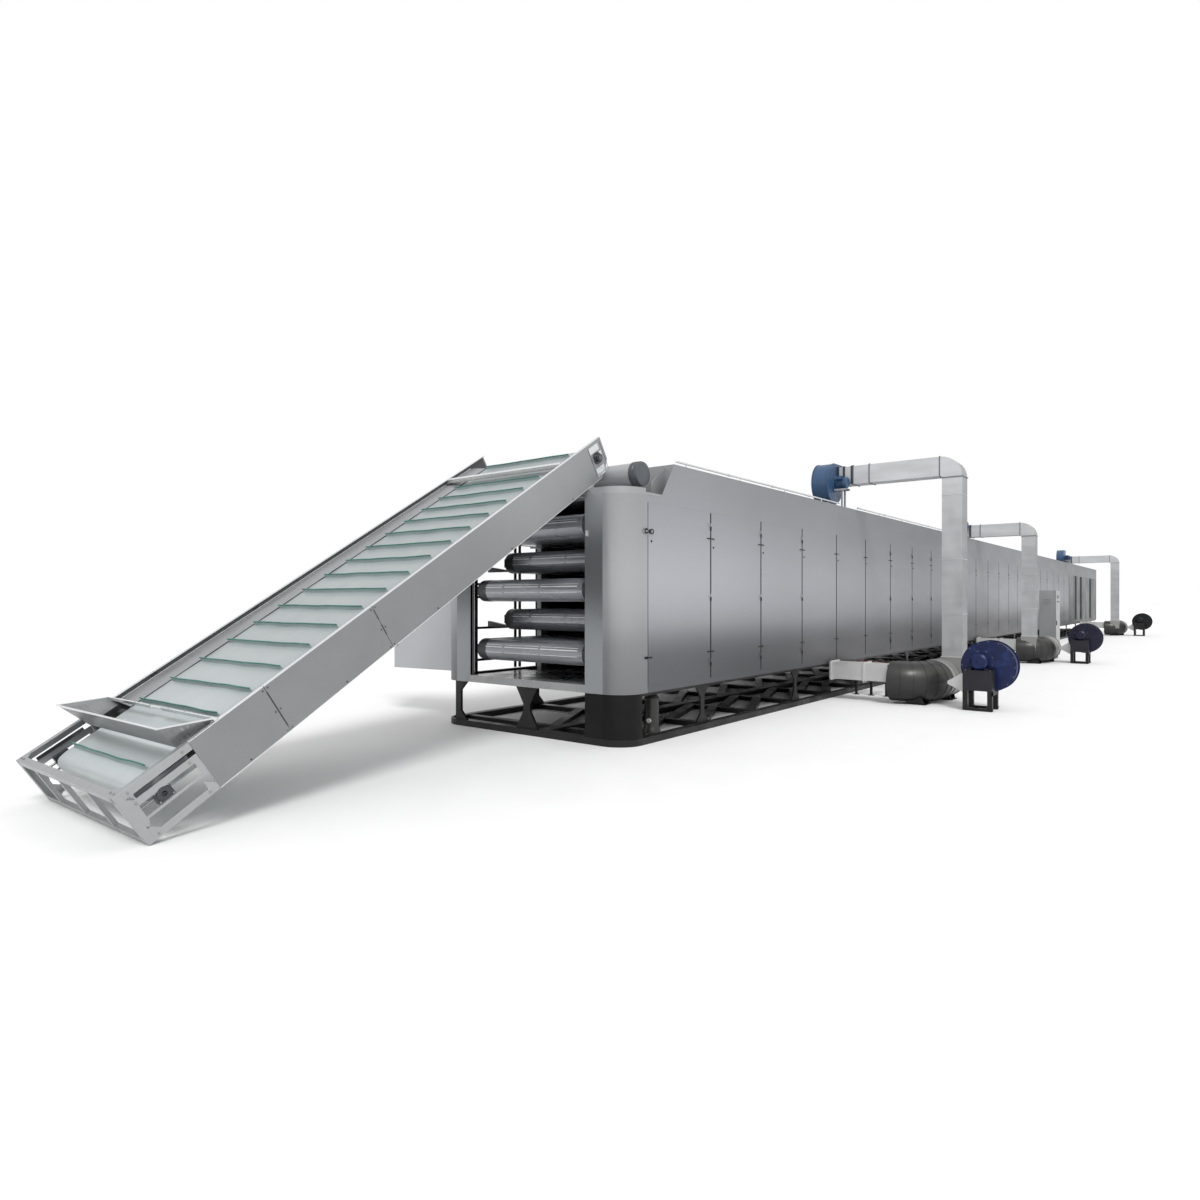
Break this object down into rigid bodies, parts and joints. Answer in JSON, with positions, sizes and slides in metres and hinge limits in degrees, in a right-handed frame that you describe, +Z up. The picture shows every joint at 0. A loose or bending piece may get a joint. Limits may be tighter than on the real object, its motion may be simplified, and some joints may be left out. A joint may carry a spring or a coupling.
{
  "type": "belt dryer line",
  "caption": "Long multi-layer mesh-belt dryer with a sloping feed conveyor, side doors, hot-air units, ground blowers and roof exhaust ducts.",
  "frame": {"origin": "middle of the underside of the front sill, in the plane of the open feed face, on the floor", "axes": "+X along the line from the feed face to the discharge end, +Y to the side away from the blowers, +Z up"},
  "size_m": [42.625, 6.4546, 3.635],
  "materials": {
    "black_frame": "satin black paint",
    "cabinet_steel": "brushed stainless sheet",
    "portal_steel": "smooth stainless sheet",
    "inner_frame": "dark grey paint",
    "belt_mesh": "woven stainless wire",
    "drum_steel": "turned steel",
    "conveyor_steel": "satin stainless sheet",
    "bearing_paint": "grey paint",
    "feed_belt": "pale food-grade belting with green flights",
    "motor_black": "black paint",
    "duct_sheet": "galvanised sheet, hand seamed",
    "heater_steel": "heat-greyed steel",
    "fan_blue": "blue enamel",
    "blower_blue": "navy enamel",
    "blower_navy": "dark navy enamel",
    "blower_black": "black enamel",
    "wheel_steel": "grey primer",
    "pipe_paint": "red-brown primer",
    "control_grey": "light grey enamel"
  },
  "bodies": {
    "housing": {"base_lattice": "black_frame", "base_legs": "black_frame", "base_rails": "black_frame", "belt_frames": "inner_frame", "belt_gearmotor": "motor_black", "blower_1": "blower_blue", "blower_2": "blower_navy", "blower_3": "blower_black", "control_box": "control_grey", "corner_panels": "cabinet_steel", "corner_skirts": "black_frame", "exhaust_duct_1": "duct_sheet", "exhaust_duct_2": "duct_sheet", "exhaust_duct_3": "duct_sheet", "feed_bearings": "bearing_paint", "feed_bed": "conveyor_steel", "feed_belt": "feed_belt", "feed_foot": "conveyor_steel", "feed_hopper": "conveyor_steel", "feed_portal": "portal_steel", "feed_side_plates": "conveyor_steel", "feed_tube": "portal_steel", "fixed_doors": "cabinet_steel", "floor_and_tray": "portal_steel", "heater_1": "heater_steel", "heater_2": "heater_steel", "heater_3": "heater_steel", "mesh_belts": "belt_mesh", "pipework": "pipe_paint", "rear_panel": "cabinet_steel", "roof_fan_1": "fan_blue", "roof_fans_2_3": "fan_blue", "roof_panels": "cabinet_steel", "side_fascias": "cabinet_steel", "wall_posts": "inner_frame"},
    "near_door_01": {"near_door_01": "cabinet_steel"},
    "near_door_02": {"near_door_02": "cabinet_steel"},
    "near_door_03": {"near_door_03": "cabinet_steel"},
    "near_door_06": {"near_door_06": "cabinet_steel"},
    "near_door_07": {"near_door_07": "cabinet_steel"},
    "near_door_08": {"near_door_08": "cabinet_steel"},
    "near_door_09": {"near_door_09": "cabinet_steel"},
    "far_door_01": {"far_door_01": "cabinet_steel"},
    "rear_drum_1": {"rear_drum_1": "drum_steel"},
    "front_drum_1": {"front_drum_1": "drum_steel"},
    "rear_drum_2": {"rear_drum_2": "drum_steel"},
    "front_drum_2": {"front_drum_2": "drum_steel"},
    "rear_drum_3": {"rear_drum_3": "drum_steel"},
    "front_drum_3": {"front_drum_3": "drum_steel"},
    "rear_drum_4": {"rear_drum_4": "drum_steel"},
    "front_drum_4": {"front_drum_4": "drum_steel"},
    "rear_drum_5": {"rear_drum_5": "drum_steel"},
    "front_drum_5": {"front_drum_5": "drum_steel"},
    "feed_head_roller": {"feed_head_roller": "drum_steel"},
    "feed_tail_roller": {"feed_tail_roller": "drum_steel"},
    "blower_wheel_1": {"blower_wheel_1": "wheel_steel"},
    "blower_wheel_2": {"blower_wheel_2": "wheel_steel"},
    "blower_wheel_3": {"blower_wheel_3": "wheel_steel"},
    "roof_fan_wheel_1": {"roof_fan_wheel_1": "wheel_steel"},
    "control_door": {"control_door": "control_grey"}
  },
  "joints": [
    {"name": "near_door_01_hinge", "type": "hinge", "parent": "housing", "child": "near_door_01", "pos_m": [1.636, -1.373, 1.52], "axis": [0, 0, 1], "range_deg": [0, 90]},
    {"name": "near_door_02_hinge", "type": "hinge", "parent": "housing", "child": "near_door_02", "pos_m": [2.886, -1.373, 1.52], "axis": [0, 0, 1], "range_deg": [0, 90]},
    {"name": "near_door_03_hinge", "type": "hinge", "parent": "housing", "child": "near_door_03", "pos_m": [4.136, -1.373, 1.52], "axis": [0, 0, 1], "range_deg": [0, 90]},
    {"name": "near_door_06_hinge", "type": "hinge", "parent": "housing", "child": "near_door_06", "pos_m": [7.886, -1.373, 1.52], "axis": [0, 0, 1], "range_deg": [0, 90]},
    {"name": "near_door_07_hinge", "type": "hinge", "parent": "housing", "child": "near_door_07", "pos_m": [9.136, -1.373, 1.52], "axis": [0, 0, 1], "range_deg": [0, 90]},
    {"name": "near_door_08_hinge", "type": "hinge", "parent": "housing", "child": "near_door_08", "pos_m": [10.386, -1.373, 1.52], "axis": [0, 0, 1], "range_deg": [0, 90]},
    {"name": "near_door_09_hinge", "type": "hinge", "parent": "housing", "child": "near_door_09", "pos_m": [11.636, -1.373, 1.52], "axis": [0, 0, 1], "range_deg": [0, 90]},
    {"name": "far_door_01_hinge", "type": "hinge", "parent": "housing", "child": "far_door_01", "pos_m": [0.394, 1.373, 1.52], "axis": [0, 0, 1], "range_deg": [-97, 13]},
    {"name": "rear_drum_1_spin", "type": "hinge", "parent": "housing", "child": "rear_drum_1", "pos_m": [37.69, 0, 0.9], "axis": [0, 1, 0], "continuous": true},
    {"name": "front_drum_1_spin", "type": "hinge", "parent": "housing", "child": "front_drum_1", "pos_m": [0.155, 0, 0.9], "axis": [0, 1, 0], "continuous": true},
    {"name": "rear_drum_2_spin", "type": "hinge", "parent": "housing", "child": "rear_drum_2", "pos_m": [38.125, 0, 1.235], "axis": [0, 1, 0], "continuous": true},
    {"name": "front_drum_2_spin", "type": "hinge", "parent": "housing", "child": "front_drum_2", "pos_m": [0.59, 0, 1.235], "axis": [0, 1, 0], "continuous": true},
    {"name": "rear_drum_3_spin", "type": "hinge", "parent": "housing", "child": "rear_drum_3", "pos_m": [37.69, 0, 1.57], "axis": [0, 1, 0], "continuous": true},
    {"name": "front_drum_3_spin", "type": "hinge", "parent": "housing", "child": "front_drum_3", "pos_m": [0.155, 0, 1.57], "axis": [0, 1, 0], "continuous": true},
    {"name": "rear_drum_4_spin", "type": "hinge", "parent": "housing", "child": "rear_drum_4", "pos_m": [38.125, 0, 1.905], "axis": [0, 1, 0], "continuous": true},
    {"name": "front_drum_4_spin", "type": "hinge", "parent": "housing", "child": "front_drum_4", "pos_m": [0.59, 0, 1.905], "axis": [0, 1, 0], "continuous": true},
    {"name": "rear_drum_5_spin", "type": "hinge", "parent": "housing", "child": "rear_drum_5", "pos_m": [37.69, 0, 2.24], "axis": [0, 1, 0], "continuous": true},
    {"name": "front_drum_5_spin", "type": "hinge", "parent": "housing", "child": "front_drum_5", "pos_m": [0.155, 0, 2.24], "axis": [0, 1, 0], "continuous": true},
    {"name": "feed_head_roller_spin", "type": "hinge", "parent": "housing", "child": "feed_head_roller", "pos_m": [0.12431, -0.045, 2.91886], "axis": [0, 1, 0], "continuous": true},
    {"name": "feed_tail_roller_spin", "type": "hinge", "parent": "housing", "child": "feed_tail_roller", "pos_m": [-4.05931, -0.045, 0.29753], "axis": [0, 1, 0], "continuous": true},
    {"name": "blower_wheel_1_spin", "type": "hinge", "parent": "housing", "child": "blower_wheel_1", "pos_m": [5.34, -3.43, 0.647], "axis": [1, 0, 0], "continuous": true},
    {"name": "blower_wheel_2_spin", "type": "hinge", "parent": "housing", "child": "blower_wheel_2", "pos_m": [15.09, -3.43, 0.647], "axis": [1, 0, 0], "continuous": true},
    {"name": "blower_wheel_3_spin", "type": "hinge", "parent": "housing", "child": "blower_wheel_3", "pos_m": [32.7, -3.43, 0.647], "axis": [1, 0, 0], "continuous": true},
    {"name": "roof_fan_wheel_1_spin", "type": "hinge", "parent": "housing", "child": "roof_fan_wheel_1", "pos_m": [5.9, -1.04, 3.31], "axis": [0, 1, 0], "continuous": true},
    {"name": "control_door_hinge", "type": "hinge", "parent": "housing", "child": "control_door", "pos_m": [16.548, -2.786, 0.9], "axis": [0, 0, 1], "range_deg": [0, 110]}
  ],
  "couplings": [
    {"joint": "front_drum_1_spin", "follows": "rear_drum_1_spin", "ratio": 1},
    {"joint": "rear_drum_2_spin", "follows": "rear_drum_1_spin", "ratio": -1},
    {"joint": "front_drum_2_spin", "follows": "rear_drum_1_spin", "ratio": -1},
    {"joint": "rear_drum_3_spin", "follows": "rear_drum_1_spin", "ratio": 1},
    {"joint": "front_drum_3_spin", "follows": "rear_drum_1_spin", "ratio": 1},
    {"joint": "rear_drum_4_spin", "follows": "rear_drum_1_spin", "ratio": -1},
    {"joint": "front_drum_4_spin", "follows": "rear_drum_1_spin", "ratio": -1},
    {"joint": "rear_drum_5_spin", "follows": "rear_drum_1_spin", "ratio": 1},
    {"joint": "front_drum_5_spin", "follows": "rear_drum_1_spin", "ratio": 1},
    {"joint": "feed_tail_roller_spin", "follows": "feed_head_roller_spin", "ratio": 1}
  ]
}
